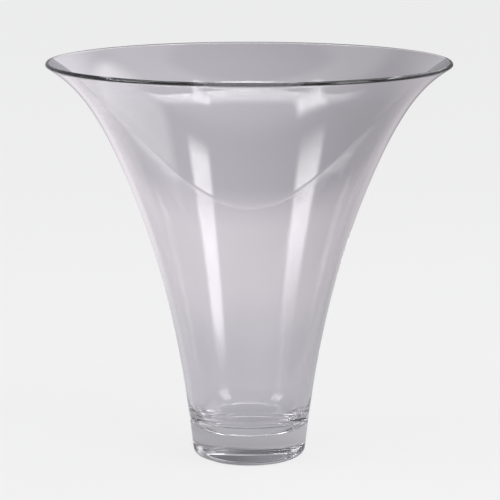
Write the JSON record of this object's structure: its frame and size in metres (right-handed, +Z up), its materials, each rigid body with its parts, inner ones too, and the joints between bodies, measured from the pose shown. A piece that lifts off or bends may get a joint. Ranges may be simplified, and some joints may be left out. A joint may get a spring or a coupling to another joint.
{
  "type": "trumpet vase",
  "caption": "Tall clear glass trumpet vase: a slender round bowl that flares to a wide turned-out rim, on a thick solid base, for long cut stems in water.",
  "frame": {"origin": "middle of the resting face, under the vase's axis", "axes": "+Z up along the vase's axis, from the base to the mouth; the vase is round, so X and Y are free"},
  "size_m": [0.3012, 0.3012, 0.2999],
  "materials": {
    "clear_glass": "fire-polished clear soda-lime glass"
  },
  "bodies": {
    "root": {"trumpet_bowl": "clear_glass", "solid_base": "clear_glass"}
  },
  "joints": []
}
